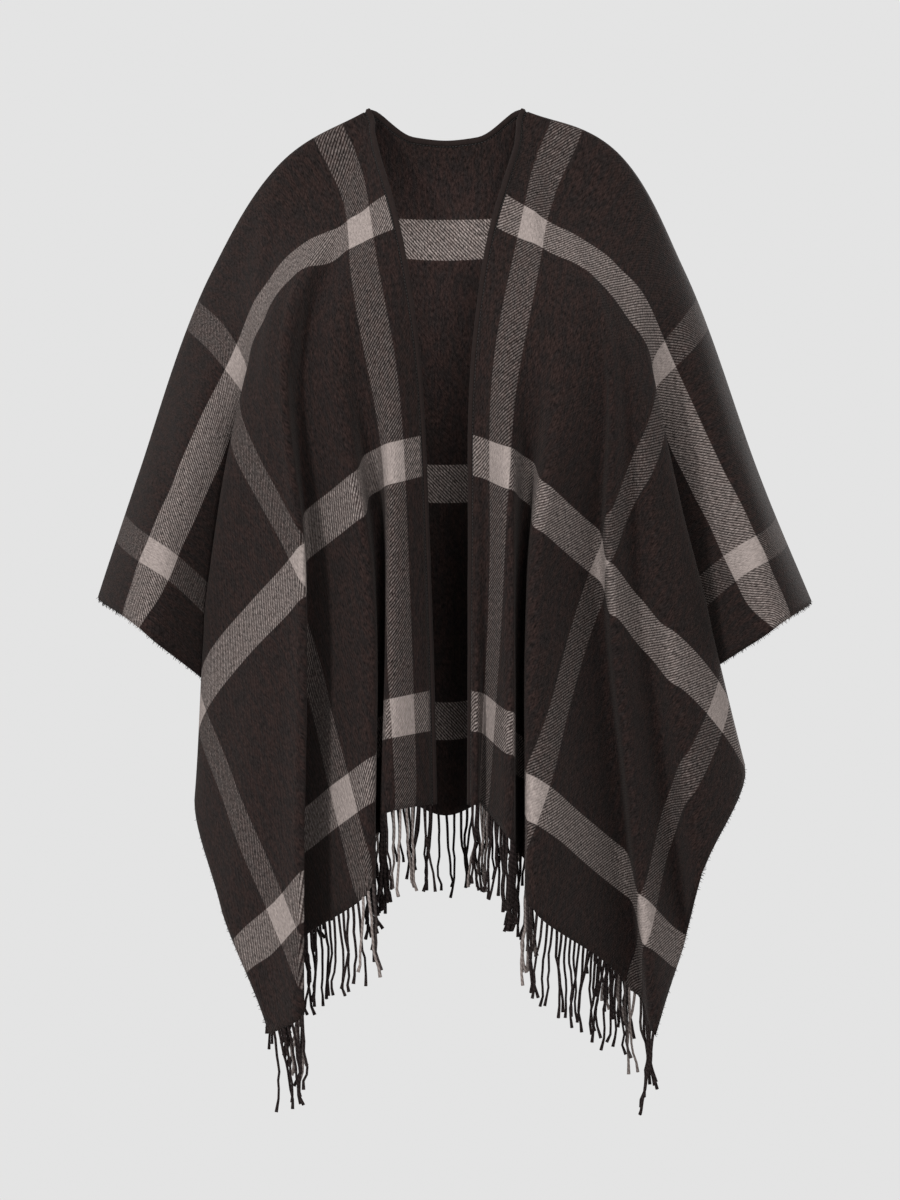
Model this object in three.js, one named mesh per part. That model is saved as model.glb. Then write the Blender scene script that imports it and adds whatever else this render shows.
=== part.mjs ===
// A serape: an open-front wrap of one woven cloth with a fringe at both ends, in the shape it
// has when worn, with no wearer inside. Millimetres, +Z up, the front faces -Y.
// The origin is midway between the two neck points, at shoulder height.
import * as THREE from "three";

// The cloth laid flat
const HALF_WIDTH = 710; // centre to raw selvedge
const HALF_LENGTH = 717; // shoulder line to either hem
const HALF_NECK = 75; // half the width cut out for the neck and the front opening
const NECK_DIP = 20; // depth of the scooped back neck
const NECK_SLOPE = 45; // how far in from each neck point it comes down
const WALL = 2.5; // brushed wool cloth
const GAP = 0.3; // left between neighbouring pieces

// The stitched narrow edge along both fronts and round the back neck
const EDGE_WIDTH = 6.8;
const EDGE_THICK = 4.4;

// The fringe
const FRINGE_LENGTH = 80;
const STRAND_WIDTH = 3;
const STRAND_THICK = 2;
const STRAND_PITCH = 14.3;
const STRIP_HEIGHT = 4.5;
const HEM_GAP = 1.5; // where the hem bends sharply the cloth and the strip need more room

// How finely the cloth is divided
const ROWS = 14;
const FOLD_STEPS = 3;
const NECK_STEPS = 8;

// Each half of the cloth hangs from its neck point like a fan. A fold line leaves that point at
// an angle on the flat cloth: 0 is the front edge, 90 the shoulder line, 180 straight down the
// back. Its place is given across (outward) and deep (backward) at three distances along the
// cloth, at the chest, the waist and the hem. Upper and lower say how far the cloth reaches
// along the line for its length, above and below the waist: over 1 it is drawn out on the bias.
const CHEST = 250, WAIST = 480, HEM = 760, COLLAR = 110;
const CORNER_ANGLE = THREE.MathUtils.radToDeg(Math.atan((HALF_WIDTH - HALF_NECK) / HALF_LENGTH));

// name, angle, chest across and deep, waist across and deep, hem across and deep, upper, lower
const LEFT_FRONT = [
  ["edge", 0, 28, -92, 15, -88, 9, -84, 1.0, 1.0],
  ["crest_c", 7, 52, -108, 53, -122, 60, -132, 1.02, 0.97],
  ["valley_c", 12.8, 74, -113, 58, -76, 60, -58, 1.03, 1.0],
  ["valley_b", 16.4, 86, -115, 70, -74, 75, -60, 1.03, 1.0],
  ["crest_b", 22, 106, -120, 76, -124, 73, -146, 1.05, 1.03],
  ["valley_ab", 32.5, 135, -100, 134, -66, 150, -52, 1.05, 1.0],
  ["crest_a", 39, 150, -118, 137, -120, 137, -138, 1.055, 0.97],
  ["corner", CORNER_ANGLE, 158, -112, 152, -108, 163, -108, 1.04, 0.96],
  ["side", 48, 168, -100, 186, -78, 211, -62, 1.02, 0.95],
  ["turn", 56.5, 177, -80, 228, -28, 250, 12, 0.99, 0.94],
  ["underarm", 63, 187, -58, 195, 20, 206, 84, 0.97, 0.95],
  ["sleeve", 76, 204, -20, 265, -34, 312, -70, 0.923, 0.85],
];
const RIGHT_FRONT = [
  ["edge", 0, 27, -92, 24, -88, 22, -86, 1.0, 1.0],
  ["strip", 1.5, 33, -97, 31, -95, 30, -98, 1.0, 1.0],
  ["tuck", 3.8, 40, -101, 43, -94, 34, -68, 1.0, 1.0],
  ["crest_c", 10, 60, -112, 64, -130, 63, -146, 1.035, 1.02],
  ["valley_c", 15.8, 80, -113, 69, -74, 69, -56, 1.035, 1.03],
  ["valley_b", 19.4, 92, -115, 80, -74, 81, -56, 1.035, 1.03],
  ["crest_b", 25, 112, -120, 87, -128, 85, -150, 1.05, 1.03],
  ["valley_ab", 37.5, 146, -112, 148, -62, 172, -36, 1.05, 1.0],
  ["corner", CORNER_ANGLE, 154, -114, 160, -98, 187, -84, 1.05, 0.965],
  ["soft_valley", 46, 163, -103, 186, -66, 222, -34, 1.04, 0.95],
  ["soft_crest", 52, 172, -92, 210, -80, 249, -66, 1.02, 0.95],
  ["turn", 58.5, 184, -76, 238, -36, 302, 10, 0.99, 0.93],
  ["underarm", 65, 198, -55, 206, 20, 248, 84, 0.97, 0.94],
  ["sleeve", 77, 220, -20, 284, -34, 346, -72, 0.95, 0.865],
];
const LEFT_BACK = [
  ["ridge", 90, 235, 33, 310, 68, 383, 50, 0.95, 0.85],
  ["sleeve", 104, 211, 84, 268, 150, 320, 180, 0.932, 0.865],
  ["underarm", 115, 190, 104, 200, 95, 215, 105, 0.97, 0.95],
  ["turn", 123, 178, 115, 222, 140, 240, 158, 1.0, 0.95],
  ["valley_gd", 130.5, 170, 110, 196, 96, 208, 92, 1.0, 0.95],
  ["corner", 180 - CORNER_ANGLE, 158, 126, 170, 152, 178, 176, 1.0, 0.96],
  ["valley_de", 147, 137, 104, 144, 84, 150, 78, 1.0, 0.96],
  ["crest_e", 158, 118, 126, 118, 156, 118, 178, 1.0, 1.0],
  ["valley_ef", 169, 96, 94, 92, 74, 94, 66, 1.0, 1.0],
  ["back", 180, 76, 116, 68, 140, 62, 164, 1.0, 1.0],
];
const RIGHT_BACK = [
  ["ridge", 90, 239, 33, 317, 68, 412, 50, 0.975, 0.885],
  ["sleeve", 104, 222, 84, 278, 148, 340, 178, 0.95, 0.885],
  ["underarm", 115, 192, 104, 204, 92, 220, 102, 0.97, 0.95],
  ["turn", 123, 180, 115, 226, 138, 246, 154, 1.0, 0.95],
  ["valley_gd", 130, 172, 110, 200, 94, 214, 88, 1.0, 0.95],
  ["corner", 180 - CORNER_ANGLE, 160, 126, 173, 150, 184, 172, 1.0, 0.96],
  ["valley_de", 146.5, 139, 104, 147, 82, 154, 74, 1.0, 0.96],
  ["crest_e", 157.5, 119, 126, 121, 158, 122, 182, 1.0, 1.0],
  ["valley_ef", 168.5, 96, 94, 93, 72, 95, 64, 1.0, 1.0],
  ["back", 180, 76, 116, 68, 140, 62, 164, 1.0, 1.0],
];
// The middle of the back: how deep it lies at the shoulder line, collar, chest, waist and hem,
// and how far it sags below the neck points
const BACK_MIDDLE = [20, 60, 98, 105, 125];
const MIDDLE_SAG = 9;
// How far each shoulder line spreads outward over the collar
const LEFT_SPREAD = 0.81;
const RIGHT_SPREAD = 0.88;
// The front edges fall straight from the neck points before they run in: how far they stand out
// for that, at which distance, and up to what angle the cloth beside them follows
const ROLL_OUT = 7;
const ROLL_AT = 45;
const ROLL_ANGLE = 30;

const rad = THREE.MathUtils.degToRad;
const lerp = THREE.MathUtils.lerp;
const clamp = THREE.MathUtils.clamp;

// A smooth curve through given places
function smooth(places, values, at) {
  const last = places.length - 1;
  const slopes = places.map((_, i) => {
    const before = i > 0 ? (values[i] - values[i - 1]) / (places[i] - places[i - 1]) : null;
    const after = i < last ? (values[i + 1] - values[i]) / (places[i + 1] - places[i]) : null;
    if (before === null) return after;
    if (after === null) return before;
    const [a, b] = [places[i] - places[i - 1], places[i + 1] - places[i]];
    return (before * b + after * a) / (a + b);
  });
  if (at >= places[last]) return values[last] + (at - places[last]) * slopes[last];
  let k = 0;
  while (at > places[k + 1]) k++;
  const h = places[k + 1] - places[k];
  const t = Math.max(0, (at - places[k]) / h);
  return (2 * t ** 3 - 3 * t * t + 1) * values[k] + (t ** 3 - 2 * t * t + t) * h * slopes[k]
    + (3 * t * t - 2 * t ** 3) * values[k + 1] + (t ** 3 - t * t) * h * slopes[k + 1];
}

// Points down one fold line, a fixed step of cloth apart. Whatever the line does across and
// deep, its drop is what is left of the cloth's length.
const STEP = 10;
const TRACK_STEPS = 98;
function followLine(across, deep, upper, lower, top, roll = 0) {
  const stations = [0, COLLAR, CHEST, WAIST, HEM];
  const points = [];
  let z = top;
  for (let i = 0; i <= TRACK_STEPS; i++) {
    const s = i * STEP;
    const x = smooth(stations, across, s) + roll * (s / ROLL_AT) * Math.exp(1 - s / ROLL_AT);
    const y = smooth(stations, deep, s);
    if (i > 0) {
      const reach = lerp(upper, lower, clamp((s - 385) / 200, 0, 1)) * STEP;
      const last = points[i - 1];
      z -= Math.sqrt(Math.max(reach ** 2 - (x - last.x) ** 2 - (y - last.y) ** 2, 0.05 * STEP));
    }
    points.push(new THREE.Vector3(x, y, z));
  }
  return points;
}

function fanLine(row, side, spread) {
  const [, angle, chestX, chestY, waistX, waistY, hemX, hemY, upper, lower] = row;
  const a = rad(angle);
  const forward = Math.max(Math.cos(a), 0);
  const out = spread * Math.sin(a) - 0.23 * forward ** 2 - 0.14 * Math.sin(2 * a) ** 2;
  const deep = (angle < 90 ? -0.5 : -0.45) * Math.cos(a);
  const across = [HALF_NECK, HALF_NECK + out * COLLAR, chestX, waistX, hemX].map((x) => x * side);
  const roll = side * ROLL_OUT * Math.max(1 - angle / ROLL_ANGLE, 0) ** 2;
  return followLine(across, [0, deep * COLLAR, chestY, waistY, hemY], upper, lower, 0, roll);
}

// All fold lines, from the left front edge round the back to the right front edge
const left = [...LEFT_FRONT, ...LEFT_BACK];
const right = [...RIGHT_FRONT, ...RIGHT_BACK];
const LINES = [
  ...left.map((row) => fanLine(row, -1, LEFT_SPREAD)),
  followLine([0, 0, 0, 0, 0], BACK_MIDDLE, 1, 1, -MIDDLE_SAG),
  ...right.map((row) => fanLine(row, 1, RIGHT_SPREAD)).reverse(),
];
const LAST_LINE = LINES.length - 1;

function onLine(k, s) {
  const place = clamp(s / STEP, 0, TRACK_STEPS - 0.001);
  const i = Math.floor(place);
  return LINES[k][i].clone().lerp(LINES[k][i + 1], place - i);
}

// The point at a distance from the neck point, between fold lines
function onRing(s, index) {
  const k = clamp(Math.floor(index), 0, LAST_LINE - 1);
  const t = index - k;
  const b = onLine(k, s);
  const c = onLine(k + 1, s);
  const a = k > 0 ? onLine(k - 1, s) : b.clone().multiplyScalar(2).sub(c);
  const d = k < LAST_LINE - 1 ? onLine(k + 2, s) : c.clone().multiplyScalar(2).sub(b);
  const inSlope = c.clone().sub(a).multiplyScalar(0.5 * (t ** 3 - 2 * t * t + t));
  const outSlope = d.sub(b).multiplyScalar(0.5 * (t ** 3 - t * t));
  return b.multiplyScalar(2 * t ** 3 - 3 * t * t + 1).addScaledVector(c, 3 * t * t - 2 * t ** 3)
    .add(inSlope).add(outSlope);
}

function lineIndex(rows, angle) {
  let k = 0;
  while (k < rows.length - 2 && angle > rows[k + 1][1]) k++;
  return k + (angle - rows[k][1]) / (rows[k + 1][1] - rows[k][1]);
}

// Where a point of the flat cloth lies when worn. u runs across from the centre to the right,
// v from the shoulder line towards the front hem.
function worn(u, v) {
  if (Math.abs(u) < HALF_NECK) {
    return onRing(Math.max(-v, 0), left.length - 1 + (u + HALF_NECK) / HALF_NECK);
  }
  const across = Math.abs(u) - HALF_NECK;
  const angle = THREE.MathUtils.radToDeg(Math.atan2(across, v));
  const s = Math.hypot(across, v);
  if (u < 0) return onRing(s, lineIndex(left, angle));
  return onRing(s, LAST_LINE - lineIndex(right, angle));
}

// The cloth's outward direction at a flat point, the same on both sides of the shoulder line
function outward(u, flatV) {
  const d = 3;
  const v = Math.abs(flatV) <= 3 * GAP ? 0 : flatV;
  const alongV = worn(u, v + d).sub(worn(u, v - d));
  const alongU = worn(u + d, v).sub(worn(u - d, v));
  return alongV.cross(alongU).normalize();
}

function solid(name, vertices, faces, colour) {
  const geometry = new THREE.BufferGeometry();
  const positions = new Float32Array(vertices.flatMap((p) => [p.x, p.y, p.z]));
  let volume = 0;
  for (const [a, b, c] of faces) {
    volume += vertices[a].dot(vertices[b].clone().cross(vertices[c]));
  }
  const turned = volume < 0 ? faces.map(([a, b, c]) => [a, c, b]) : faces;
  geometry.setAttribute("position", new THREE.BufferAttribute(positions, 3));
  geometry.setIndex(turned.flat());
  geometry.computeVertexNormals();
  const mesh = new THREE.Mesh(geometry, new THREE.MeshStandardMaterial({
    color: colour, roughness: 0.95, metalness: 0,
  }));
  mesh.name = name;
  return mesh;
}

// A wall of cloth through a grid of flat points, with its faces and its four edges closed
function clothWall(name, columns, colour) {
  const vertices = [];
  const faces = [];
  const across = columns.length;
  const down = columns[0].length;
  for (const side of [0.5, -0.5]) {
    for (const column of columns) {
      for (const [u, v] of column) {
        vertices.push(worn(u, v).addScaledVector(outward(u, v), side * WALL));
      }
    }
  }
  const at = (side, i, j) => (side * across + i) * down + j;
  const quad = (a, b, c, d) => faces.push([a, b, c], [a, c, d]);
  for (let i = 0; i < across - 1; i++) {
    for (let j = 0; j < down - 1; j++) {
      quad(at(0, i, j), at(0, i, j + 1), at(0, i + 1, j + 1), at(0, i + 1, j));
      quad(at(1, i, j), at(1, i + 1, j), at(1, i + 1, j + 1), at(1, i, j + 1));
    }
    quad(at(0, i, 0), at(0, i + 1, 0), at(1, i + 1, 0), at(1, i, 0));
    quad(at(0, i + 1, down - 1), at(0, i, down - 1), at(1, i, down - 1), at(1, i + 1, down - 1));
  }
  for (let j = 0; j < down - 1; j++) {
    quad(at(0, 0, j + 1), at(0, 0, j), at(1, 0, j), at(1, 0, j + 1));
    quad(at(0, across - 1, j), at(0, across - 1, j + 1), at(1, across - 1, j + 1),
      at(1, across - 1, j));
  }
  return solid(name, vertices, faces, colour);
}

// Flat points down the cloth, from inside at the neck to outside at the hem or selvedge
function flatColumn(side, inside, outside) {
  return Array.from({ length: ROWS + 1 }, (_, j) => {
    const t = (j / ROWS) ** 1.15;
    return [side * (HALF_NECK + lerp(inside[0], outside[0], t)), lerp(inside[1], outside[1], t)];
  });
}

function angles(rows) {
  const list = [];
  for (let k = 0; k < rows.length - 1; k++) {
    for (let i = 0; i < FOLD_STEPS; i++) list.push(lerp(rows[k][1], rows[k + 1][1], i / FOLD_STEPS));
  }
  return [...list, rows[rows.length - 1][1]];
}

const CLOTH_INSET = EDGE_WIDTH + GAP; // the cloth stops short of the stitched edge
const NECK_POINT_GAP = 3.5; // more room where the cloth turns tightly round the neck point
const REACH = HALF_WIDTH - HALF_NECK;

function frontColumn(side, angle) {
  const start = [CLOTH_INSET + NECK_POINT_GAP * (angle / 90) ** 3, 3 * GAP + 14 * (1 - angle / 90)];
  const slope = Math.tan(rad(angle));
  const end = angle <= CORNER_ANGLE
    ? [Math.max(HALF_LENGTH * slope, CLOTH_INSET), HALF_LENGTH]
    : [REACH, Math.max(REACH / slope, GAP / 2)];
  return flatColumn(side, start, end);
}

// The back neck slopes down from both neck points to a level middle
const neckDepth = (u) => NECK_DIP
  * (1 - THREE.MathUtils.smoothstep(Math.abs(u), HALF_NECK - NECK_SLOPE, HALF_NECK));

function backColumn(side, angle) {
  const tight = Math.sin(rad(2 * (angle - 90))) ** 2;
  const start = CLOTH_INSET + NECK_POINT_GAP * (1 + 1.6 * tight);
  const slope = Math.tan(rad(180 - angle));
  const end = 180 - angle <= CORNER_ANGLE
    ? [HALF_LENGTH * slope, -HALF_LENGTH]
    : [REACH, -Math.max(REACH / slope, GAP / 2)];
  const inside = [start * Math.sin(rad(angle)), Math.min(start * Math.cos(rad(angle)), -3 * GAP)];
  return flatColumn(side, inside, end);
}

function neckColumn(u) {
  const start = -CLOTH_INSET - neckDepth(u);
  return flatColumn(1, [u - HALF_NECK, start], [u - HALF_NECK, -HALF_LENGTH]);
}

const leftRidge = [...LEFT_FRONT, LEFT_BACK[0]];
const rightRidge = [...RIGHT_FRONT, RIGHT_BACK[0]];
const leftFrontColumns = angles(leftRidge).map((angle) => frontColumn(-1, angle)).reverse();
const rightFrontColumns = angles(rightRidge).map((angle) => frontColumn(1, angle));
const neckPlaces = Array.from({ length: NECK_STEPS - 1 },
  (_, i) => HALF_NECK * (2 * (i + 1) / NECK_STEPS - 1));
const backColumns = [
  ...angles(LEFT_BACK).map((angle) => backColumn(-1, angle)),
  ...neckPlaces.map(neckColumn),
  ...angles(RIGHT_BACK).map((angle) => backColumn(1, angle)).reverse(),
];

// The stitched edge: a rounded section led beside the cloth's own edge, up one front, round the
// back neck and down the other front
function stitchedEdge(name, colour) {
  const shoulder = (side) => [7, 0].map((v) => [side * (HALF_NECK + CLOTH_INSET), v])
    .concat([100, 115, 130, 145, 160, 170, 180].map((angle) => [
      side * (HALF_NECK + CLOTH_INSET * Math.sin(rad(angle))),
      CLOTH_INSET * Math.cos(rad(angle)),
    ]));
  const stops = [
    ...[...leftFrontColumns[leftFrontColumns.length - 1]].reverse(), ...shoulder(-1),
    ...neckPlaces.map((u) => neckColumn(u)[0]),
    ...shoulder(1).reverse(), ...rightFrontColumns[0],
  ];
  const sides = 8;
  const beside = stops.map(([u, v]) => worn(u, v));
  const vertices = [];
  stops.forEach(([u, v], i) => {
    const ahead = beside[Math.min(i + 1, stops.length - 1)].clone();
    const along = ahead.sub(beside[Math.max(i - 1, 0)]).normalize();
    const out = outward(u, v);
    out.addScaledVector(along, -out.dot(along)).normalize();
    const across = along.clone().cross(out).normalize();
    const middle = beside[i].clone().addScaledVector(across, EDGE_WIDTH / 2 + GAP);
    for (let k = 0; k < sides; k++) {
      const turn = (2 * Math.PI * (k + 0.5)) / sides;
      vertices.push(middle.clone()
        .addScaledVector(across, (Math.cos(turn) * EDGE_WIDTH) / 2)
        .addScaledVector(out, (Math.sin(turn) * EDGE_THICK) / 2));
    }
  });
  const faces = [];
  for (let i = 0; i < stops.length - 1; i++) {
    for (let k = 0; k < sides; k++) {
      const [a, b] = [i * sides + k, i * sides + ((k + 1) % sides)];
      faces.push([a, b, b + sides], [a, b + sides, a + sides]);
    }
  }
  const end = (stops.length - 1) * sides;
  for (let k = 1; k < sides - 1; k++) {
    faces.push([0, k + 1, k], [end, end + k, end + k + 1]);
  }
  return solid(name, vertices, faces, colour);
}

// A fringe: a narrow strip below the hem with square strands growing out of it. Each stretch of
// hem between two columns of the cloth has a whole number of strands.
function fringe(name, hemPoints, colour) {
  const towards = Math.sign(hemPoints[0][1]);
  const hem = hemPoints.map(([u, v], i) => {
    const point = worn(u, v);
    const out = outward(u, v);
    const before = worn(...hemPoints[Math.max(i - 1, 0)]);
    const after = worn(...hemPoints[Math.min(i + 1, hemPoints.length - 1)]);
    const down = after.sub(before).cross(out).normalize().multiplyScalar(towards);
    return { point, out, down };
  });
  // Places along the hem where the strip changes, and whether a strand starts there
  const places = [];
  for (let k = 0; k < hem.length - 1; k++) {
    const length = hem[k].point.distanceTo(hem[k + 1].point);
    const count = Math.round(length / STRAND_PITCH);
    places.push({ k, t: 0, strand: false });
    for (let i = 0; i < count; i++) {
      const centre = (i + 0.5) / count;
      const half = STRAND_WIDTH / 2 / length;
      places.push({ k, t: centre - half, strand: true }, { k, t: centre + half, strand: false });
    }
  }
  places.push({ k: hem.length - 2, t: 1, strand: false });

  const vertices = [];
  const faces = [];
  const quad = (a, b, c, d) => faces.push([a, b, c], [a, c, d]);
  const frames = places.map(({ k, t }) => ({
    point: hem[k].point.clone().lerp(hem[k + 1].point, t),
    out: hem[k].out.clone().lerp(hem[k + 1].out, t).normalize(),
    down: hem[k].down.clone().lerp(hem[k + 1].down, t).normalize(),
  }));
  // Four corners of the strip at each place: top outside, top inside, low inside, low outside
  for (const { point, out, down } of frames) {
    for (const [depth, side] of [[HEM_GAP, 1], [HEM_GAP, -1], [STRIP_HEIGHT, -1], [STRIP_HEIGHT, 1]]) {
      vertices.push(point.clone().addScaledVector(down, depth)
        .addScaledVector(out, (side * STRAND_THICK) / 2));
    }
  }
  const lastPlace = places.length - 1;
  for (let i = 0; i < lastPlace; i++) {
    const [a, b] = [i * 4, i * 4 + 4];
    quad(a, b, b + 1, a + 1);
    quad(a + 1, b + 1, b + 2, a + 2);
    quad(b, a, a + 3, b + 3);
    if (!places[i].strand) {
      quad(a + 2, b + 2, b + 3, a + 3);
      continue;
    }
    // The strand leaves the strip along the cloth and soon hangs, leaning a little here and there
    let ring = [a + 2, b + 2, b + 3, a + 3];
    const root = frames[i].point;
    const lean = new THREE.Vector3(
      0.9 * Math.sin(root.x / 19 + root.z / 31), 0.8 * Math.sin(root.y / 23 + root.z / 27), 0);
    const start = ring.map((n) => vertices[n].clone());
    const middle = start.reduce((sum, p) => sum.add(p), new THREE.Vector3()).divideScalar(4);
    const corners = start.map((p) => p.clone().sub(middle));
    const hang = new THREE.Vector3(0, 0, -1);
    const place = middle.clone();
    for (const [length, pull, width] of [[0.5, 0.75, 1], [0.5, 0.95, 0.75]]) {
      const direction = frames[i].down.clone().lerp(hang, pull).normalize();
      place.addScaledVector(direction, length * (FRINGE_LENGTH - STRIP_HEIGHT)).add(lean);
      const next = corners.map((offset) => {
        vertices.push(place.clone().addScaledVector(offset, width));
        return vertices.length - 1;
      });
      for (let c = 0; c < 4; c++) quad(ring[c], ring[(c + 1) % 4], next[(c + 1) % 4], next[c]);
      lean.multiplyScalar(-1.4);
      ring = next;
    }
    quad(ring[0], ring[1], ring[2], ring[3]);
  }
  quad(0, 1, 2, 3);
  quad(lastPlace * 4 + 3, lastPlace * 4 + 2, lastPlace * 4 + 1, lastPlace * 4);
  return solid(name, vertices, faces, colour);
}

const hemOf = (columns) => columns.map((column) => column[ROWS])
  .filter(([, v]) => Math.abs(v) > HALF_LENGTH - 0.01);

const BROWN = 0x3a302d;
const EDGE_BROWN = 0x352b29;
const FRINGE_BROWN = 0x40362f;

const serape = new THREE.Group();
serape.add(
  clothWall("front_left", leftFrontColumns, BROWN),
  clothWall("front_right", rightFrontColumns, BROWN),
  clothWall("back", backColumns, BROWN),
  stitchedEdge("edge_binding", EDGE_BROWN),
  fringe("fringe_front_left", hemOf(leftFrontColumns), FRINGE_BROWN),
  fringe("fringe_front_right", hemOf(rightFrontColumns), FRINGE_BROWN),
  fringe("fringe_back", hemOf(backColumns), FRINGE_BROWN),
);

export default serape;
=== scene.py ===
# A serape: an open-front wrap of one brushed wool cloth, fringed at both ends, in the shape it
# has when worn. Metres, +Z up, and the front faces -Y. The sections follow the order in which a
# real one is made: cloth, stitched edge, fringe and selvedges. The studio comes last.
import math

import bpy
import numpy as np
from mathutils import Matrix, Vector


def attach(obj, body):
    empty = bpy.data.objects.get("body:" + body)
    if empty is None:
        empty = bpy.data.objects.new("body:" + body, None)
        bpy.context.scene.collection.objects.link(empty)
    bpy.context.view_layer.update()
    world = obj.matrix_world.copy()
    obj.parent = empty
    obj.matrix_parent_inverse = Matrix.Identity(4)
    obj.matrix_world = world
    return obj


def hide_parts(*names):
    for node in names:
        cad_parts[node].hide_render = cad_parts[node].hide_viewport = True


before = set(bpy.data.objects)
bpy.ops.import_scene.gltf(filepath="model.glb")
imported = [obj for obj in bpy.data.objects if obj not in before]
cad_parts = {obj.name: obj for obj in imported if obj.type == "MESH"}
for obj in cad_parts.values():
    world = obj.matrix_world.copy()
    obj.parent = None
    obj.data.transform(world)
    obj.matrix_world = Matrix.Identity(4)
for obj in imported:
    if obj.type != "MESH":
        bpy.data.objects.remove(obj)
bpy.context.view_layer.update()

# The cloth
# One rectangle of checked wool twill, brushed on both faces. A slot is cut in from the front hem
# for the opening and a shallow scoop for the back neck. It hangs in folds from the shoulders.
MM = 0.001
HALF_WIDTH = 710  # centre to raw selvedge, in mm as all of the drape is
HALF_LENGTH = 717  # shoulder line to either hem
HALF_NECK = 75  # half the width of the slot
NECK_DIP = 20  # depth of the scooped back neck
NECK_SLOPE = 45  # how far in from each neck point it comes down
WALL = 2.5  # thickness of the cloth
COLLAR, CHEST, WAIST, HEM = 110, 250, 480, 760  # stations, by their way down a fold line
CORNER = math.degrees(math.atan((HALF_WIDTH - HALF_NECK) / HALF_LENGTH))

# Each half hangs from its neck point like a fan. A fold line leaves that point at an angle on the
# flat cloth: 0 is the front edge, 90 the shoulder line, 180 straight down the back. After the
# angle come how far across and how deep the line lies at the chest, the waist and the hem, and
# the share of the cloth's own length that it has in the upper and in the lower part.
LEFT_FOLDS = {
    "edge": (0, 28, -92, 15, -88, 9, -84, 1.0, 1.0),
    "crest_c": (7, 52, -108, 53, -122, 60, -132, 1.02, 0.97),
    "valley_c": (12.8, 74, -113, 58, -76, 60, -58, 1.03, 1.0),
    "valley_b": (16.4, 86, -115, 70, -74, 75, -60, 1.03, 1.0),
    "crest_b": (22, 106, -120, 76, -124, 73, -146, 1.05, 1.03),
    "valley_ab": (32.5, 135, -100, 134, -66, 150, -52, 1.05, 1.0),
    "crest_a": (39, 150, -118, 137, -120, 137, -138, 1.055, 0.97),
    "corner": (CORNER, 158, -112, 152, -108, 163, -108, 1.04, 0.96),
    "side": (48, 168, -100, 186, -78, 211, -62, 1.02, 0.95),
    "turn": (56.5, 177, -80, 228, -28, 250, 12, 0.99, 0.94),
    "underarm": (63, 187, -58, 195, 20, 206, 84, 0.97, 0.95),
    "sleeve": (76, 204, -20, 265, -34, 312, -70, 0.923, 0.85),
    "ridge": (90, 235, 33, 310, 68, 383, 50, 0.95, 0.85),
    "back_sleeve": (104, 211, 84, 268, 150, 320, 180, 0.932, 0.865),
    "back_underarm": (115, 190, 104, 200, 95, 215, 105, 0.97, 0.95),
    "back_turn": (123, 178, 115, 222, 140, 240, 158, 1.0, 0.95),
    "valley_gd": (130.5, 170, 110, 196, 96, 208, 92, 1.0, 0.95),
    "back_corner": (180 - CORNER, 158, 126, 170, 152, 178, 176, 1.0, 0.96),
    "valley_de": (147, 137, 104, 144, 84, 150, 78, 1.0, 0.96),
    "crest_e": (158, 118, 126, 118, 156, 118, 178, 1.0, 1.0),
    "valley_ef": (169, 96, 94, 92, 74, 94, 66, 1.0, 1.0),
    "back": (180, 76, 116, 68, 140, 62, 164, 1.0, 1.0),
}
RIGHT_FOLDS = {
    "edge": (0, 27, -92, 24, -88, 22, -86, 1.0, 1.0),
    "strip": (1.5, 33, -97, 31, -95, 30, -98, 1.0, 1.0),
    "tuck": (3.8, 40, -101, 43, -94, 34, -68, 1.0, 1.0),
    "crest_c": (10, 60, -112, 64, -130, 63, -146, 1.035, 1.02),
    "valley_c": (15.8, 80, -113, 69, -74, 69, -56, 1.035, 1.03),
    "valley_b": (19.4, 92, -115, 80, -74, 81, -56, 1.035, 1.03),
    "crest_b": (25, 112, -120, 87, -128, 85, -150, 1.05, 1.03),
    "valley_ab": (37.5, 146, -112, 148, -62, 172, -36, 1.05, 1.0),
    "corner": (CORNER, 154, -114, 160, -98, 187, -84, 1.05, 0.965),
    "soft_valley": (46, 163, -103, 186, -66, 222, -34, 1.04, 0.95),
    "soft_crest": (52, 172, -92, 210, -80, 249, -66, 1.02, 0.95),
    "turn": (58.5, 184, -76, 238, -36, 302, 10, 0.99, 0.93),
    "underarm": (65, 198, -55, 206, 20, 248, 84, 0.97, 0.94),
    "sleeve": (77, 220, -20, 284, -34, 346, -72, 0.95, 0.865),
    "ridge": (90, 239, 33, 317, 68, 412, 50, 0.975, 0.885),
    "back_sleeve": (104, 222, 84, 278, 148, 340, 178, 0.95, 0.885),
    "back_underarm": (115, 192, 104, 204, 92, 220, 102, 0.97, 0.95),
    "back_turn": (123, 180, 115, 226, 138, 246, 154, 1.0, 0.95),
    "valley_gd": (130, 172, 110, 200, 94, 214, 88, 1.0, 0.95),
    "back_corner": (180 - CORNER, 160, 126, 173, 150, 184, 172, 1.0, 0.96),
    "valley_de": (146.5, 139, 104, 147, 82, 154, 74, 1.0, 0.96),
    "crest_e": (157.5, 119, 126, 121, 158, 122, 182, 1.0, 1.0),
    "valley_ef": (168.5, 96, 94, 93, 72, 95, 64, 1.0, 1.0),
    "back": (180, 76, 116, 68, 140, 62, 164, 1.0, 1.0),
}
BACK_MIDDLE = (20, 60, 98, 105, 125)  # how deep the middle of the back lies at the stations
MIDDLE_SAG = 9  # below the neck points
LEFT_SPREAD, RIGHT_SPREAD = 0.81, 0.88  # how far the shoulder lines spread over the collar
STATIONS = np.array([0, COLLAR, CHEST, WAIST, HEM], float)
STEP, STEPS = 10, 98  # between the points of a fold line, and how many
LOWER_FROM, LOWER_OVER = 385, 200  # where the lower share of the length takes over
LEAST_DROP = 0.5  # the least that a step goes down, squared


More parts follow.
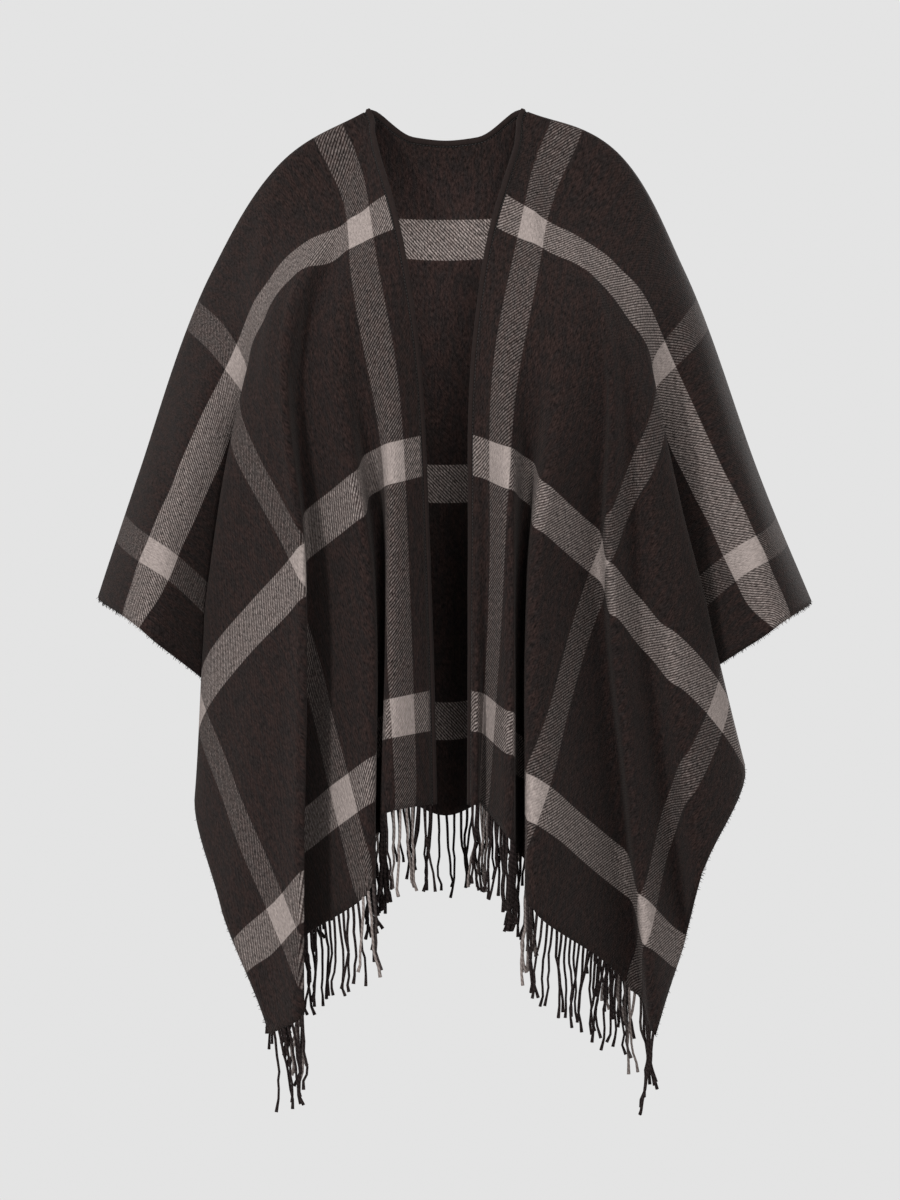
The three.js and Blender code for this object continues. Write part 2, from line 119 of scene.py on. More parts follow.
def smooth(values, at):
    """A smooth curve through a value at each station down the cloth."""
    values = np.array(values, float)
    spans = np.diff(STATIONS)
    rises = np.diff(values) / spans
    inner = (rises[:-1] * spans[1:] + rises[1:] * spans[:-1]) / (spans[:-1] + spans[1:])
    slopes = np.concatenate([rises[:1], inner, rises[-1:]])
    k = np.clip(np.searchsorted(STATIONS, at) - 1, 0, len(spans) - 1)
    t = np.clip((at - STATIONS[k]) / spans[k], 0, 1)
    curve = (2 * t**3 - 3 * t**2 + 1) * values[k] + (3 * t**2 - 2 * t**3) * values[k + 1]
    curve += spans[k] * ((t**3 - 2 * t**2 + t) * slopes[k] + (t**3 - t**2) * slopes[k + 1])
    return curve + np.maximum(at - STATIONS[-1], 0) * slopes[-1]


# The front edges fall straight from the neck points before they run in: that is 7 mm outward at
# 45 mm down, and less on the lines up to 30 degrees away from them
ROLL_OUT, ROLL_AT, ROLL_ANGLE = 7, 45, 30
# How steeply a line comes forward or goes back from the neck point to the collar station, and how
# far the lines near the front edge and those between the main directions are drawn in
FRONT_SLOPE, BACK_SLOPE = -0.5, -0.45
EDGE_DRAWN_IN, SLANT_DRAWN_IN = 0.23, 0.14


def follow_line(across, deep, upper, lower, top, roll=0):
    """Points down one fold line. The drop is what is left of the cloth's own length."""
    s = np.arange(STEPS + 1) * STEP
    x = smooth(across, s) + roll * (s / ROLL_AT) * np.exp(1 - s / ROLL_AT)
    y = smooth(deep, s)
    reach = (upper + (lower - upper) * np.clip((s[1:] - LOWER_FROM) / LOWER_OVER, 0, 1)) * STEP
    drop = np.sqrt(np.maximum(reach**2 - np.diff(x) ** 2 - np.diff(y) ** 2, LEAST_DROP))
    return np.column_stack([x, y, top - np.concatenate([[0], np.cumsum(drop)])])


def fan_line(fold, side, spread):
    """One fold line of a half, which leaves the neck point at its own angle."""
    angle, chest_x, chest_y, waist_x, waist_y, hem_x, hem_y, upper, lower = fold
    a = math.radians(angle)
    out = spread * math.sin(a) - EDGE_DRAWN_IN * max(math.cos(a), 0) ** 2
    out -= SLANT_DRAWN_IN * math.sin(2 * a) ** 2
    deep = (FRONT_SLOPE if angle < 90 else BACK_SLOPE) * math.cos(a)
    across = [HALF_NECK, HALF_NECK + out * COLLAR, chest_x, waist_x, hem_x]
    depth = [0, deep * COLLAR, chest_y, waist_y, hem_y]
    roll = side * ROLL_OUT * max(1 - angle / ROLL_ANGLE, 0) ** 2
    return follow_line([side * x for x in across], depth, upper, lower, 0, roll)


left_lines = [fan_line(fold, -1, LEFT_SPREAD) for fold in LEFT_FOLDS.values()]
right_lines = [fan_line(fold, 1, RIGHT_SPREAD) for fold in RIGHT_FOLDS.values()]
middle_line = follow_line([0] * 5, BACK_MIDDLE, 1, 1, -MIDDLE_SAG)
lines = np.array([*left_lines, middle_line, *right_lines[::-1]])
# One more line and one more point, mirrored, past each end for the curve to lean on
lines = np.concatenate([2 * lines[:1] - lines[1:2], lines, 2 * lines[-1:] - lines[-2:-1]])
ends = 2 * lines[:, :1] - lines[:, 1:2], 2 * lines[:, -1:] - lines[:, -2:-1]
lines = np.concatenate([ends[0], lines, ends[1]], axis=1)
left_angles = [fold[0] for fold in LEFT_FOLDS.values()]
right_angles = [fold[0] for fold in RIGHT_FOLDS.values()]
last_line = len(lines) - 3


def through(a, b, c, d, t):
    """The smooth curve from b to c, with a before and d after them."""
    t = t[:, None]
    bend = (t**3 - 2 * t**2 + t) * (c - a) + (t**3 - t**2) * (d - b)
    return (2 * t**3 - 3 * t**2 + 1) * b + (3 * t**2 - 2 * t**3) * c + 0.5 * bend


def drape(u, v):
    """Where points of the flat cloth lie when worn. u runs from the centre to the right, and v
    from the shoulder line to the front hem."""
    u, v = np.broadcast_arrays(np.asarray(u, float), np.asarray(v, float))
    in_neck = np.abs(u) < HALF_NECK
    across = np.abs(u) - HALF_NECK
    angle = np.degrees(np.arctan2(across, v))
    from_left = np.interp(angle, left_angles, np.arange(len(left_angles)))
    from_right = last_line - np.interp(angle, right_angles, np.arange(len(right_angles)))
    in_middle = len(left_angles) - 1 + (u + HALF_NECK) / HALF_NECK
    index = np.where(in_neck, in_middle, np.where(u < 0, from_left, from_right))
    s = np.where(in_neck, np.maximum(-v, 0), np.hypot(across, v))
    k = np.clip(np.floor(index).astype(int), 0, last_line - 1)
    place = np.clip(s / STEP, 0, STEPS - 0.001)
    i = np.floor(place).astype(int)

    def on_line(line):
        return through(*(lines[line + 1, i + n] for n in range(4)), place - i)

    return through(*(on_line(k + n) for n in (-1, 0, 1, 2)), index - k)


REACH = 3  # how far each way from a point its directions are measured


def facing(u, v):
    """The outward direction of the cloth at flat points, and its direction towards +v."""
    along_v = drape(u, v + REACH) - drape(u, v - REACH)
    along_u = drape(u + REACH, v) - drape(u - REACH, v)
    out = np.cross(along_v, along_u)
    lengthwise = along_v / np.linalg.norm(along_v, axis=1, keepdims=True)
    return out / np.linalg.norm(out, axis=1, keepdims=True), lengthwise


# Small soft creases, given one by one: where one starts and ends on the flat cloth, its width and
# its height out of the face
CREASES = {
    "left_collar": (-112, 40, -150, 190, 9, 2.4),
    "left_shoulder_front": (-190, 30, -330, 210, 16, -2.6),
    "left_shoulder_mid": (-160, 60, -250, 300, 13, 2.2),
    "left_elbow": (-420, 60, -560, 330, 22, 3.4),
    "left_elbow_under": (-470, 20, -640, 250, 20, -3.0),
    "left_chest": (-200, 240, -330, 520, 18, 2.4),
    "left_skirt": (-300, 470, -420, 690, 20, 2.6),
    "left_cuff": (-600, 60, -700, 190, 16, 2.4),
    "right_collar": (116, 36, 158, 200, 9, 2.4),
    "right_shoulder_front": (200, 26, 345, 190, 16, -2.6),
    "right_shoulder_mid": (168, 66, 262, 320, 13, 2.2),
    "right_elbow": (440, 50, 580, 310, 22, 3.4),
    "right_elbow_under": (490, 24, 650, 240, 20, -3.0),
    "right_chest": (215, 260, 350, 540, 18, 2.4),
    "right_skirt": (330, 450, 470, 680, 20, 2.6),
    "right_cuff": (610, 70, 702, 200, 16, 2.4),
    "back_left_shoulder": (-180, -40, -360, -280, 20, 2.6),
    "back_left_elbow": (-430, -50, -590, -300, 22, 3.2),
    "back_left_skirt": (-330, -420, -440, -690, 24, 2.8),
    "back_right_shoulder": (190, -36, 370, -260, 20, 2.6),
    "back_right_elbow": (450, -60, 600, -290, 22, 3.2),
    "back_right_skirt": (320, -440, 430, -700, 24, 2.8),
    "back_yoke": (-60, -150, 70, -170, 26, -1.8),
}
CREASE_BOW = 0.06  # how far a crease bends aside, as a share of its length
CREASE_ENDS = 0.8  # below 1 a crease keeps more of its height towards its ends
# Between the creases the cloth rises and falls a little, in long swells that wander
UNEVEN = 0.5
SWELL_U, WANDER_U, WANDER_U_OVER = 47, 1.3, 83
SWELL_V, WANDER_V, WANDER_V_OVER = 61, 0.7, 97


def crease_height(u, v):
    """How far the creases lift flat points out of the drape."""
    swell_u = np.sin(u / SWELL_U + WANDER_U * np.sin(v / WANDER_U_OVER))
    swell_v = np.sin(v / SWELL_V + WANDER_V * np.sin(u / WANDER_V_OVER))
    height = UNEVEN * swell_u * swell_v
    for u0, v0, u1, v1, width, rise in CREASES.values():
        length = math.hypot(u1 - u0, v1 - v0)
        t = ((u - u0) * (u1 - u0) + (v - v0) * (v1 - v0)) / length**2
        bow = CREASE_BOW * length * np.sin(math.pi * np.clip(t, 0, 1))
        aside = ((u - u0) * (v1 - v0) - (v - v0) * (u1 - u0)) / length + bow
        fade = np.clip(np.sin(math.pi * np.clip(t, 0, 1)), 0, 1) ** CREASE_ENDS
        height = height + rise * fade * np.exp(-((aside / width) ** 2))
    return height


def lie_on_cloth(u, v):
    """Where flat points lie when worn, creases and all, with the outward direction there and the
    direction towards +v."""
    out, lengthwise = facing(u, v)
    return drape(u, v) + out * crease_height(u, v)[:, None], out, lengthwise


def neck_depth(u):
    """How far the scoop of the back neck has come down at a place across it."""
    t = np.clip((np.abs(u) - HALF_NECK) / NECK_SLOPE + 1, 0, 1)
    return NECK_DIP * (1 - t**2 * (3 - 2 * t))


COLUMN_SPACING = 12.6  # at the outer edge of the cloth
NECK_COLUMNS = 19  # across the back neck
ROWS = 102  # down a column
ROW_CROWDING = 1.12  # above 1 the rows lie closer together near the neck
CLOTH_START = 7.1  # where the cloth begins, beside the stitched edge
SHOULDER_EXTRA = 0.6  # and how much further out at the shoulder line and on the back
EDGE_TOP = 14  # how far below the neck point the column along the front edge begins


def flat_columns():
    """Flat points down columns that fan out from one front edge round the back to the other."""
    t = (np.arange(ROWS + 1) / ROWS) ** ROW_CROWDING

    def column(side, start, end):
        across = start[0] + (end[0] - start[0]) * t
        return np.column_stack([side * (HALF_NECK + across), start[1] + (end[1] - start[1]) * t])

    def outer_end(angle):
        slope = abs(math.tan(math.radians(angle)))
        towards = 1 if angle <= 90 else -1
        if min(angle, 180 - angle) <= CORNER:
            return [HALF_LENGTH * slope, towards * HALF_LENGTH]
        return [HALF_WIDTH - HALF_NECK, towards * (HALF_WIDTH - HALF_NECK) / slope]

    def fan_column(side, angle):
        a = math.radians(angle)
        end = outer_end(angle)
        if angle <= 90:
            beside = CLOTH_START + SHOULDER_EXTRA * (angle / 90) ** 3
            start = [beside, EDGE_TOP * (1 - angle / 90)]
            return column(side, start, [max(end[0], CLOTH_START), end[1]])
        beside = CLOTH_START + SHOULDER_EXTRA
        return column(side, [beside * math.sin(a), beside * math.cos(a)], end)

    def fan(side, angles):
        stops = [0.0]
        for a, b in zip(angles, angles[1:]):
            count = max(4, round(math.dist(outer_end(a), outer_end(b)) / COLUMN_SPACING))
            stops += [a + (b - a) * (n + 1) / count for n in range(count)]
        return [fan_column(side, angle) for angle in stops]

    def neck_column(u):
        start = -CLOTH_START - neck_depth(u)
        return column(1, [u - HALF_NECK, start], [u - HALF_NECK, -HALF_LENGTH])

    left, right = fan(-1, left_angles), fan(1, right_angles)
    neck = [neck_column(u) for u in np.linspace(-HALF_NECK, HALF_NECK, NECK_COLUMNS)[1:-1]]
    return np.array([*left, *neck, *right[::-1]])


def settle(places, flat, rounds):
    """Slides the weave along the draped surface, held at all its edges, so that the threads come
    near to their own lengths. Each round compares neighbours across, down and both slants."""
    near = [((slice(None, -1), slice(None)), (slice(1, None), slice(None))),
            ((slice(None), slice(None, -1)), (slice(None), slice(1, None))),
            ((slice(None, -1), slice(None, -1)), (slice(1, None), slice(1, None))),
            ((slice(None, -1), slice(1, None)), (slice(1, None), slice(None, -1)))]
    lengths = [np.linalg.norm(places[b] - places[a], axis=-1) for a, b in near]
    weave = flat.copy()
    for _ in range(rounds):
        move, share = np.zeros_like(weave), np.zeros(weave.shape[:2])
        for (a, b), length in zip(near, lengths):
            span = weave[b] - weave[a]
            long = np.maximum(np.linalg.norm(span, axis=-1), 1e-6)
            pull = span * (0.5 * (long - length) / long)[..., None]
            move[a] += pull
            move[b] -= pull
            share[a] += 1
            share[b] += 1
        weave[1:-1, 1:-1] += (move / share[..., None])[1:-1, 1:-1]
    return weave


def map_cloth(mesh, uv):
    """The UV map flat_cloth, from one pair of metres on the flat cloth for each vertex."""
    corners = np.empty(len(mesh.loops), np.int32)
    mesh.loops.foreach_get("vertex_index", corners)
    mesh.uv_layers.new(name="flat_cloth").data.foreach_set("uv", uv[corners].ravel())


def bring_in(name, data):
    """An object at the origin with the given mesh, lamp or camera."""
    made = bpy.data.objects.new(name, data)
    bpy.context.collection.objects.link(made)
    return made


def closed_shell(name, middle, out, thickness, flat):
    """A closed wall with the given thickness round a grid of points, mapped from the flat cloth."""
    across, down = middle.shape[:2]
    skins = [middle + out * thickness / 2, middle - out * thickness / 2]
    places = np.concatenate([skin.reshape(-1, 3) for skin in skins]) * MM
    uv = np.tile(flat.reshape(-1, 2) * MM, (2, 1))
    at = np.arange(2 * across * down).reshape(2, across, down)

    def quads(a, b, c, d):
        return np.stack([a, b, c, d], axis=-1).reshape(-1, 4)

    outer, inner = at
    faces = np.concatenate([
        quads(outer[:-1, :-1], outer[:-1, 1:], outer[1:, 1:], outer[1:, :-1]),
        quads(inner[:-1, :-1], inner[1:, :-1], inner[1:, 1:], inner[:-1, 1:]),
        quads(outer[:-1, 0], outer[1:, 0], inner[1:, 0], inner[:-1, 0]),
        quads(outer[1:, -1], outer[:-1, -1], inner[:-1, -1], inner[1:, -1]),
        quads(outer[0, 1:], outer[0, :-1], inner[0, :-1], inner[0, 1:]),
        quads(outer[-1, :-1], outer[-1, 1:], inner[-1, 1:], inner[-1, :-1]),
    ])
    mesh = bpy.data.meshes.new(name)
    mesh.from_pydata(places.tolist(), [], faces.tolist())
    map_cloth(mesh, uv)
    mesh.shade_smooth()
    return bring_in(name, mesh)


flat = flat_columns()
lifted, out, _ = lie_on_cloth(flat[..., 0].ravel(), flat[..., 1].ravel())
grid = flat.shape[:2] + (3,)
SETTLE_ROUNDS = 500
weave = settle(lifted.reshape(grid), flat, SETTLE_ROUNDS)
# The middle of the back has dropped a little under its own weight
BACK_DROP, DROP_REACH = 14, 200  # how far, and how far out from the centre
down_back = np.sin(math.pi * np.clip(-flat[..., 1] / HALF_LENGTH, 0, 1))
weave[..., 1] += BACK_DROP * down_back * np.exp(-((flat[..., 0] / DROP_REACH) ** 2))
cloth = closed_shell("cloth", lifted.reshape(grid), out.reshape(grid), WALL, weave)

# Checked twill: dark brown ground, a stripe of paler yarn every 250 mm both ways. Sizes in metres.
WARP_STRIPE, WEFT_STRIPE, REPEAT = 0.0335, 0.0395, 0.25
RAGGED, SOFT_EDGE = 0.0022, 0.0005  # how far the brushing has moved a stripe's edge and blurred it
WALE = 0.0037  # from one rib of the twill to the next
# How much pale yarn shows on a rib and how much beside it, in the stripes of each way
WARP_COVER, WEFT_COVER = (0.215, 0.006), (0.43, 0.075)
DARK_WOOL = (0.0140, 0.0084, 0.0074, 1)
DARK_WOOL_GREY = (0.0092, 0.0067, 0.0063, 1)
PALE_WOOL = (0.262, 0.222, 0.206, 1)


def shader(name):
    """A new material, with its tree and the shader that makes its surface."""
    material = bpy.data.materials.new(name)
    material.use_nodes = True
    tree = material.node_tree
    surface = tree.nodes["Principled BSDF"]
    return material, tree, surface


def calc(tree, operation, *values):
    """A Math node in any tree. Each value is a number or another node's output."""
    node = tree.nodes.new("ShaderNodeMath")
    node.operation = operation
    for socket, value in zip(node.inputs, values):
        if isinstance(value, (int, float)):
            socket.default_value = value
        else:
            tree.links.new(value, socket)
    return node.outputs[0]


def fade_between(tree, value, low, high):
    """0 where the value is at or below low and 1 at or above high."""
    node = tree.nodes.new("ShaderNodeMapRange")
    node.interpolation_type = "SMOOTHSTEP"
    tree.links.new(value, node.inputs["Value"])
    node.inputs["From Min"].default_value, node.inputs["From Max"].default_value = low, high
    return node.outputs["Result"]


def blend_colours(tree, amount, first, second):
    """The first colour where the amount is 0, and the second where it is 1."""
    node = tree.nodes.new("ShaderNodeMix")
    node.data_type = "RGBA"
    for socket, value in ((node.inputs[0], amount), (node.inputs[6], first),
                          (node.inputs[7], second)):
        if isinstance(value, (tuple, float)):
            socket.default_value = value
        else:
            tree.links.new(value, socket)
    return node.outputs[2]


def grain(tree, coordinate, stretch, scale):
    """Noise on a coordinate that is scaled differently each way."""
    mapping = tree.nodes.new("ShaderNodeMapping")
    mapping.inputs["Scale"].default_value = stretch
    tree.links.new(coordinate, mapping.inputs["Vector"])
    noise = tree.nodes.new("ShaderNodeTexNoise")
    noise.inputs["Scale"].default_value = scale
    noise.inputs["Detail"].default_value = 3.0
    tree.links.new(mapping.outputs[0], noise.inputs["Vector"])
    return noise.outputs["Fac"]


def raise_surface(tree, surface, height, distance):
    """Relief on the surface, in which a height of 1 stands out by the distance."""
    bump = tree.nodes.new("ShaderNodeBump")
    bump.inputs["Distance"].default_value = distance
    tree.links.new(height, bump.inputs["Height"])
    tree.links.new(bump.outputs[0], surface.inputs["Normal"])


def wool_finish(surface):
    """Brushed wool: dull, with a faint brown sheen."""
    surface.inputs["Roughness"].default_value = 0.94
    surface.inputs["Specular IOR Level"].default_value = 0.05
    surface.inputs["Sheen Weight"].default_value = 0.05
    surface.inputs["Sheen Roughness"].default_value = 0.55
    surface.inputs["Sheen Tint"].default_value = (0.62, 0.55, 0.52, 1)


checked_twill, tree, surface = shader("checked_twill")
uv_map = tree.nodes.new("ShaderNodeUVMap")
uv_map.uv_map = "flat_cloth"
split = tree.nodes.new("ShaderNodeSeparateXYZ")
tree.links.new(uv_map.outputs[0], split.inputs[0])
across, along = split.outputs[0], split.outputs[1]
fibres = grain(tree, uv_map.outputs[0], stretch=(1, 0.35, 1), scale=680.0)
tufts = grain(tree, uv_map.outputs[0], stretch=(1, 0.5, 1), scale=360.0)
mottle = grain(tree, uv_map.outputs[0], stretch=(1, 0.3, 1), scale=170.0)


def stripe(coordinate, width):
    """1 in the stripes, with edges that the brushing has roughened."""
    half = REPEAT / 2
    from_middle = calc(tree, "SUBTRACT", half, calc(tree, "PINGPONG", coordinate, half))
    nearer = calc(tree, "SUBTRACT", from_middle, RAGGED / 2)
    rough = calc(tree, "MULTIPLY_ADD", fibres, RAGGED, nearer)
    beyond = fade_between(tree, rough, width / 2 - SOFT_EDGE, width / 2 + SOFT_EDGE)
    return calc(tree, "SUBTRACT", 1.0, beyond)


warp = stripe(across, WARP_STRIPE)
weft = stripe(along, WEFT_STRIPE)
diagonal = calc(tree, "MULTIPLY", calc(tree, "ADD", across, along), 2 * math.pi / WALE)
wobble = calc(tree, "MULTIPLY_ADD", tufts, 1.6, diagonal)
wale = calc(tree, "MULTIPLY_ADD", calc(tree, "SINE", wobble), 0.5, 0.5)
rib = fade_between(tree, wale, 0.30, 0.72)
in_warp = calc(tree, "MULTIPLY", warp, calc(tree, "MULTIPLY_ADD", rib, *WARP_COVER))
in_weft = calc(tree, "MULTIPLY", weft, calc(tree, "MULTIPLY_ADD", rib, *WEFT_COVER))
both = calc(tree, "MULTIPLY", warp, weft)
either = calc(tree, "MAXIMUM", in_warp, in_weft)
worn = calc(tree, "MULTIPLY", either, calc(tree, "MULTIPLY_ADD", fibres, 1.5, 0.25))
crossed = calc(tree, "MULTIPLY", both, calc(tree, "MULTIPLY_ADD", fibres, -0.2, 0.88))
worn_pale = calc(tree, "MAXIMUM", worn, crossed)
ground = blend_colours(tree, fade_between(tree, mottle, 0.40, 0.60), DARK_WOOL, DARK_WOOL_GREY)
checks = blend_colours(tree, worn_pale, ground, PALE_WOOL)
# The nap is lighter and darker by its fibres and tufts, and calmer where the yarn is pale
brushed = tree.nodes.new("ShaderNodeHueSaturation")
tree.links.new(checks, brushed.inputs["Color"])
lift = calc(tree, "MULTIPLY_ADD", fibres, 3.2, calc(tree, "MULTIPLY_ADD", tufts, 1.4, -1.3))
calm = calc(tree, "MULTIPLY_ADD", worn_pale, -0.7, 1.0)
lift = calc(tree, "MULTIPLY_ADD", calc(tree, "SUBTRACT", lift, 1.0), calm, 1.0)
tree.links.new(lift, brushed.inputs["Value"])
tree.links.new(brushed.outputs[0], surface.inputs["Base Color"])
relief = calc(tree, "MULTIPLY_ADD", wale, 0.35, calc(tree, "ADD", fibres, tufts))
raise_surface(tree, surface, relief, distance=0.0007)
wool_finish(surface)
cloth.data.materials.append(checked_twill)

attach(cloth, "root")
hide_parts("front_left", "front_right", "back")

# The stitched edge
# The cut edges of both fronts and the back neck are turned under once and sewn down with dark
# thread. That makes a rounded rim of the same wool, about 7 mm wide, with the stitches beside it.
EDGE_WIDTH, EDGE_THICK, EDGE_GAP = 6.8, 4.4, 0.3
EDGE_INSET = EDGE_WIDTH + EDGE_GAP
FOLD_WIDTH = 5.6
FOLD_CENTRE = EDGE_INSET - FOLD_WIDTH / 2
FOLD_ARC, FOLD_POINTS = 150, 13  # degrees round the fold each way, and points on it
SQUARENESS = 2.6  # 2 would make the fold round
PUFF, PUFF_LENGTHS = 0.05, (9, 31)  # how much its thickness varies, and over what lengths
# The web behind the fold: from where to where it reaches over the cloth's edge, and half its
# thickness
WEB_OUTER, WEB_INNER, WEB_HALF = 1.5, -0.8, 0.7
SEAM_OUT, SEAM_UP = 0.8, 0.85  # where the stitches lie on it
RIM_STEP = 6.0  # mm down the fronts, and degrees round the neck points
TOP_STOPS = (12, 7, 3, 0)  # the last places below a neck point, closer together
RIM_NECK_STOPS = 35  # across the back neck


def edge_path():
    """Flat points where the rim meets the cloth, from one front hem to the other."""
    down_front = [*np.arange(HALF_LENGTH, TOP_STOPS[0] + 2, -RIM_STEP), *TOP_STOPS]
    front = [[HALF_NECK + EDGE_INSET, v] for v in down_front]
    bend = []
    for angle in np.arange(90 + RIM_STEP, 181, RIM_STEP):
        a = math.radians(angle)
        bend.append([HALF_NECK + EDGE_INSET * math.sin(a), EDGE_INSET * math.cos(a)])
    left = np.concatenate([front, bend]) * [-1, 1]
    neck_u = np.linspace(-HALF_NECK, HALF_NECK, RIM_NECK_STOPS)[1:-1]
    neck_v = -EDGE_INSET - neck_depth(neck_u)
    right = (left * [-1, 1])[::-1]
    return np.concatenate([left, np.column_stack([neck_u, neck_v]), right])


rim_flat = edge_path()
beside = drape(rim_flat[:, 0], rim_flat[:, 1])
rim_out, _ = facing(rim_flat[:, 0], rim_flat[:, 1])
rim_along = np.gradient(beside, axis=0)
rim_along /= np.linalg.norm(rim_along, axis=1, keepdims=True)
rim_out -= rim_along * np.sum(rim_out * rim_along, axis=1, keepdims=True)
rim_out /= np.linalg.norm(rim_out, axis=1, keepdims=True)
rim_across = np.cross(rim_along, rim_out)
travel = np.concatenate([[0], np.cumsum(np.linalg.norm(np.diff(beside, axis=0), axis=1))])
beside += rim_out * crease_height(rim_flat[:, 0], rim_flat[:, 1])[:, None]

# A rounded fold with a thin web behind it, which runs into the thickness of the cloth and leaves
# a groove for the stitches. Places are from the cloth's edge outward, and up from its middle.
turns = np.radians(np.linspace(-FOLD_ARC, FOLD_ARC, FOLD_POINTS))
fuller = np.abs(np.cos(turns)) ** SQUARENESS + np.abs(np.sin(turns)) ** SQUARENESS
fuller = 1 / fuller ** (1 / SQUARENESS)
wide = np.array([*(FOLD_CENTRE + fuller * np.cos(turns) * FOLD_WIDTH / 2),
                 WEB_OUTER, WEB_INNER, WEB_INNER, WEB_OUTER])
thick = np.array([*(fuller * np.sin(turns) * EDGE_THICK / 2),
                  WEB_HALF, WEB_HALF, -WEB_HALF, -WEB_HALF])
puff = 1 + PUFF * np.sin(travel / PUFF_LENGTHS[0]) * np.sin(travel / PUFF_LENGTHS[1])
rings = (beside[:, None] + rim_across[:, None] * wide[None, :, None]
         + rim_out[:, None] * (thick[None, :] * puff[:, None])[..., None])
at = np.arange(rings.size // 3).reshape(rings.shape[:2])
beyond = np.roll(at, -1, axis=1)
sides = np.stack([at[:-1], beyond[:-1], beyond[1:], at[1:]], axis=-1).reshape(-1, 4).tolist()
rim_mesh = bpy.data.meshes.new("stitched_edge")
rim_mesh.from_pydata((rings.reshape(-1, 3) * MM).tolist(), [],
                     sides + [at[0][::-1].tolist(), at[-1].tolist()])
GIRTH = 0.018  # all the way round the fold and the web, in metres
girth = np.linspace(0, GIRTH, len(wide))
rim_uv = np.stack(np.broadcast_arrays(girth[None, :], travel[:, None] * MM), axis=-1)
map_cloth(rim_mesh, rim_uv.reshape(-1, 2))
rim_mesh.shade_smooth()
stitched_edge = bring_in("stitched_edge", rim_mesh)

turned_wool, tree, surface = shader("turned_wool")
uv_map = tree.nodes.new("ShaderNodeUVMap")
uv_map.uv_map = "flat_cloth"
fibres = grain(tree, uv_map.outputs[0], stretch=(1, 0.5, 1), scale=900.0)
tufts = grain(tree, uv_map.outputs[0], stretch=(1, 0.6, 1), scale=240.0)
RIM_WOOL, RIM_WOOL_LIGHT = (0.0082, 0.0054, 0.0050, 1), (0.0160, 0.0112, 0.0102, 1)
rim_colour = blend_colours(tree, tufts, RIM_WOOL, RIM_WOOL_LIGHT)
# The web behind the fold, under the stitches, is painted nearly black: painted shade in the
# stitched groove
GROOVE_SHADE = (0.0045, 0.0034, 0.0032, 1)
WEB_FROM, WEB_ALL = 0.0136, 0.0142  # on the way round the rim
rim_place = tree.nodes.new("ShaderNodeSeparateXYZ")
tree.links.new(uv_map.outputs[0], rim_place.inputs[0])
# Painted shade: the colour turns nearly black on the web, in the groove
groove_shade_mask = fade_between(tree, rim_place.outputs[0], WEB_FROM, WEB_ALL)
rim_colour = blend_colours(tree, groove_shade_mask, rim_colour, GROOVE_SHADE)
tree.links.new(rim_colour, surface.inputs["Base Color"])
raise_surface(tree, surface, calc(tree, "ADD", fibres, tufts), distance=0.0006)
wool_finish(surface)
stitched_edge.data.materials.append(turned_wool)

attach(stitched_edge, "root")
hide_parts("edge_binding")


def open_lines(name, rows):
    """A mesh of bare edges, with one line through each row of points in mm."""
    edges, first = [], 0
    for row in rows:
        edges += [(n, n + 1) for n in range(first, first + len(row) - 1)]
        first += len(row)
    mesh = bpy.data.meshes.new(name)
    mesh.from_pydata((np.concatenate(rows) * MM).tolist(), edges, [])
    return mesh


# The stitches are dark thread, in the groove on both faces
seams = [beside + rim_across * SEAM_OUT + rim_out * side * SEAM_UP for side in (1, -1)]
stitches = bring_in("stitches", open_lines("stitches", seams))

THREAD, THREAD_SHEEN = (0.009, 0.007, 0.0066, 1), (0.019, 0.015, 0.014, 1)
sewing_thread, tree, surface = shader("sewing_thread")
surface.inputs["Roughness"].default_value = 0.6
coordinate = tree.nodes.new("ShaderNodeTexCoord").outputs["Object"]
# Painted sheen: the dark thread is lighter in random specks
painted_sheen_specks = grain(tree, coordinate, stretch=(1, 1, 1), scale=1500.0)
tree.links.new(blend_colours(tree, painted_sheen_specks, THREAD, THREAD_SHEEN), surface.inputs["Base Color"])


def new_plan(name, sizes):
    """An empty Geometry Nodes tree with a geometry way in and out and named number inputs."""
    plan = bpy.data.node_groups.new(name, "GeometryNodeTree")
    plan.interface.new_socket("Geometry", in_out="INPUT", socket_type="NodeSocketGeometry")
    for label, value in sizes.items():
        kind = "NodeSocketInt" if isinstance(value, int) else "NodeSocketFloat"
        plan.interface.new_socket(label, in_out="INPUT", socket_type=kind)
    plan.interface.new_socket("Geometry", in_out="OUTPUT", socket_type="NodeSocketGeometry")
    return plan, plan.nodes.new("NodeGroupInput").outputs


def put(plan, kind, settings=None, **sockets):
    """A node of the plan with its settings, and its inputs by name with _ for a space."""
    node = plan.nodes.new(kind)
    for key, value in (settings or {}).items():
        setattr(node, key, value)
    for label, value in sockets.items():
        socket = next(s for s in node.inputs if s.name == label.replace("_", " ") and s.enabled)
        if isinstance(value, bpy.types.NodeSocket):
            plan.links.new(value, socket)
        else:
            socket.default_value = value
    return node


def spaced_points(plan, given):
    """Points along the piece's own lines, at the plan's spacing."""
    path = put(plan, "GeometryNodeMeshToCurve", Mesh=given["Geometry"])
    points = put(plan, "GeometryNodeResampleCurve", {"mode": "LENGTH"}, Curve=path.outputs[0],
                 Length=given["Spacing"])
    return points.outputs[0]


def finish_plan(plan, geometry, material):
    """The end of a plan: real geometry in its material."""
    real = put(plan, "GeometryNodeRealizeInstances", Geometry=geometry)
    finished = put(plan, "GeometryNodeSetMaterial", Geometry=real.outputs[0], Material=material)
    put(plan, "NodeGroupOutput", Geometry=finished.outputs[0])


